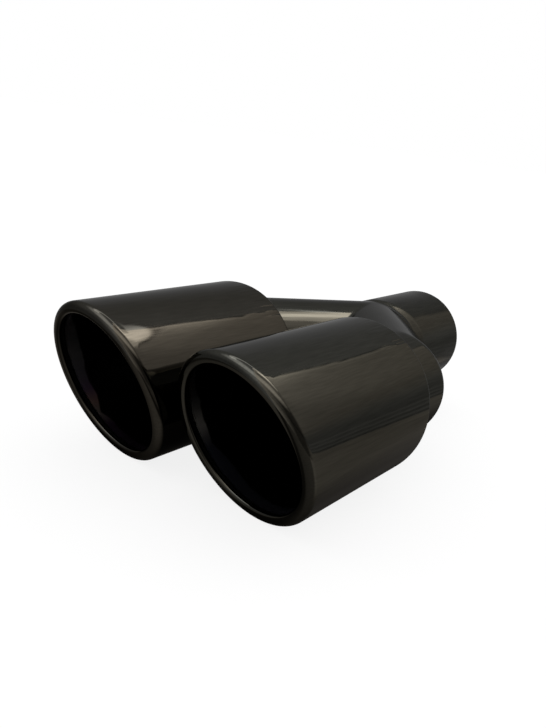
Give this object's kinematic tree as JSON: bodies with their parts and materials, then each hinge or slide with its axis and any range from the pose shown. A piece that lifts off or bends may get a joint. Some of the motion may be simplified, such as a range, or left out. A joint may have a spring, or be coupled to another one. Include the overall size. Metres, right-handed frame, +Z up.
{
  "type": "exhaust tip",
  "caption": "Twin-outlet slip-on exhaust tip in black chrome: a mitred tube Y feeds double-walled outlets with slant-cut, rolled-in mouths.",
  "frame": {"origin": "centre of the inlet's open end, on its axis", "axes": "+Y out of the inlet along its axis, mouths face -Y, +Z up with every tube axis in the plane z = 0, +X towards the outlet that stands further forward"},
  "size_m": [0.1814, 0.3234, 0.0888],
  "materials": {
    "shell": "polished black chrome",
    "sleeve": "satin, smoked by the plating",
    "tube": "polished black chrome",
    "weld": "dressed weld under black chrome"
  },
  "bodies": {
    "root": {"outer_shell_right": "shell", "outer_shell_left": "shell", "inner_sleeve_right": "sleeve", "inner_sleeve_left": "sleeve", "neck_right": "tube", "neck_left": "tube", "leg_right": "tube", "leg_left": "tube", "inlet_pipe": "tube", "weld_neck_right": "weld", "weld_neck_left": "weld", "weld_elbow_right": "weld", "weld_elbow_left": "weld", "weld_junction_right": "weld", "weld_junction_left": "weld", "weld_crotch": "weld"}
  },
  "joints": []
}
